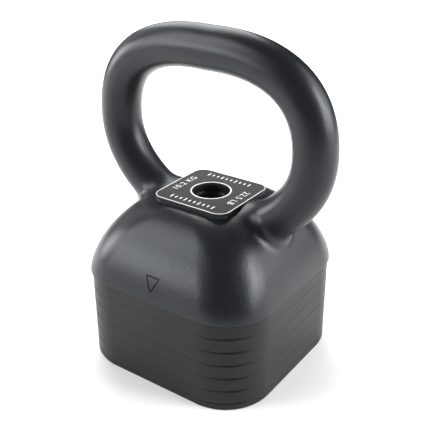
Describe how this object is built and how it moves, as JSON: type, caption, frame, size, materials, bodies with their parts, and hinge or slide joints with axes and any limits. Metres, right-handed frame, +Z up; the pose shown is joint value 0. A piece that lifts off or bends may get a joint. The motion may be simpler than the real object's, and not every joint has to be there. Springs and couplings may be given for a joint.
{
  "type": "kettlebell",
  "caption": "Plate-loaded kettlebell: a cast dome with a D-shaped loop handle, a threaded bore, a square badge plate and a stack of slip-on weight plates clamped by a lock screw.",
  "frame": {"origin": "on the floor, at the centre of the plate stack's underside, on the axis of the lock screw", "axes": "+Z up; X along the width of the handle loop, which lies in the XZ plane; -Y is the face with the alignment arrow"},
  "size_m": [0.217, 0.1632, 0.2739],
  "materials": {
    "powder_coat": "satin",
    "plate_coat": "matte",
    "badge_face": "satin",
    "badge_silver": "satin",
    "thread_steel": "satin",
    "screw_steel": "satin",
    "fixing_steel": "satin"
  },
  "bodies": {
    "casting": {"body_casting": "powder_coat", "threaded_insert": "thread_steel", "badge_plate": "badge_face"},
    "washer": {"thrust_washer": "screw_steel"},
    "lock_screw": {"lock_screw_head": "screw_steel", "lock_screw_stud": "screw_steel", "head_retaining_screw": "fixing_steel"},
    "plate_body_1": {"plate_5lb_1": "plate_coat"},
    "plate_body_2": {"plate_5lb_2": "plate_coat"},
    "plate_body_3": {"plate_5lb_3": "plate_coat"},
    "plate_body_4": {"plate_5lb_4": "plate_coat"},
    "plate_body_5": {"plate_5lb_5": "plate_coat"},
    "plate_body_6": {"plate_5lb_6": "plate_coat"},
    "thin_plate_body": {"plate_2p5lb": "plate_coat"}
  },
  "joints": [
    {"name": "lock_screw_turn", "type": "hinge", "parent": "washer", "child": "lock_screw", "pos_m": [0, 0, 0.0029], "axis": [0, 0, -1], "range_deg": [0, 2701]},
    {"name": "lock_screw_travel", "type": "slide", "parent": "casting", "child": "washer", "axis": [0, 0, -1], "range_m": [0, 0.0381]},
    {"name": "plate_1_drop", "type": "slide", "parent": "casting", "child": "plate_body_1", "axis": [0, 0, -1], "range_m": [0, 0.00545]},
    {"name": "plate_2_drop", "type": "slide", "parent": "casting", "child": "plate_body_2", "axis": [0, 0, -1], "range_m": [0, 0.01089]},
    {"name": "plate_3_drop", "type": "slide", "parent": "casting", "child": "plate_body_3", "axis": [0, 0, -1], "range_m": [0, 0.01633]},
    {"name": "plate_4_drop", "type": "slide", "parent": "casting", "child": "plate_body_4", "axis": [0, 0, -1], "range_m": [0, 0.02178]},
    {"name": "plate_5_drop", "type": "slide", "parent": "casting", "child": "plate_body_5", "axis": [0, 0, -1], "range_m": [0, 0.02722]},
    {"name": "plate_6_drop", "type": "slide", "parent": "casting", "child": "plate_body_6", "axis": [0, 0, -1], "range_m": [0, 0.03266]},
    {"name": "thin_plate_drop", "type": "slide", "parent": "casting", "child": "thin_plate_body", "axis": [0, 0, -1], "range_m": [0, 0.03811]}
  ],
  "couplings": [
    {"joint": "lock_screw_turn", "follows": "lock_screw_travel", "rad_per_m": 1236.8},
    {"joint": "plate_1_drop", "follows": "lock_screw_travel", "ratio": 0.14286},
    {"joint": "plate_2_drop", "follows": "lock_screw_travel", "ratio": 0.28571},
    {"joint": "plate_3_drop", "follows": "lock_screw_travel", "ratio": 0.42857},
    {"joint": "plate_4_drop", "follows": "lock_screw_travel", "ratio": 0.57143},
    {"joint": "plate_5_drop", "follows": "lock_screw_travel", "ratio": 0.71429},
    {"joint": "plate_6_drop", "follows": "lock_screw_travel", "ratio": 0.85714},
    {"joint": "thin_plate_drop", "follows": "lock_screw_travel", "ratio": 1}
  ]
}
